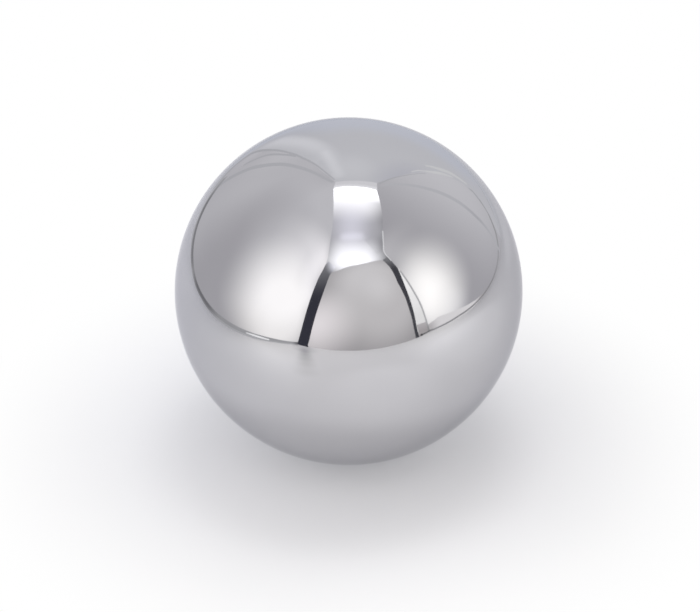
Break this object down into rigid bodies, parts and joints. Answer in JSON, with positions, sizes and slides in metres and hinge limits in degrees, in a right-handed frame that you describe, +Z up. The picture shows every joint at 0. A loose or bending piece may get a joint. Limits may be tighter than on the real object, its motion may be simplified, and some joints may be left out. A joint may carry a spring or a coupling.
{
  "type": "steel ball",
  "caption": "Solid, mirror-polished steel ball: a plain true sphere with no hole, flat or seam, used as a loose weight, a rolling body or a desk piece.",
  "frame": {"origin": "centre of the ball, which is also its centre of mass", "axes": "+Z up as the ball lies in use, -Y towards the viewer of its front, +X to that viewer's right; the ball is the same about every axis through its centre"},
  "size_m": [0.05, 0.05, 0.05],
  "materials": {
    "polished_steel": "polished"
  },
  "bodies": {
    "root": {"ball": "polished_steel"}
  },
  "joints": []
}
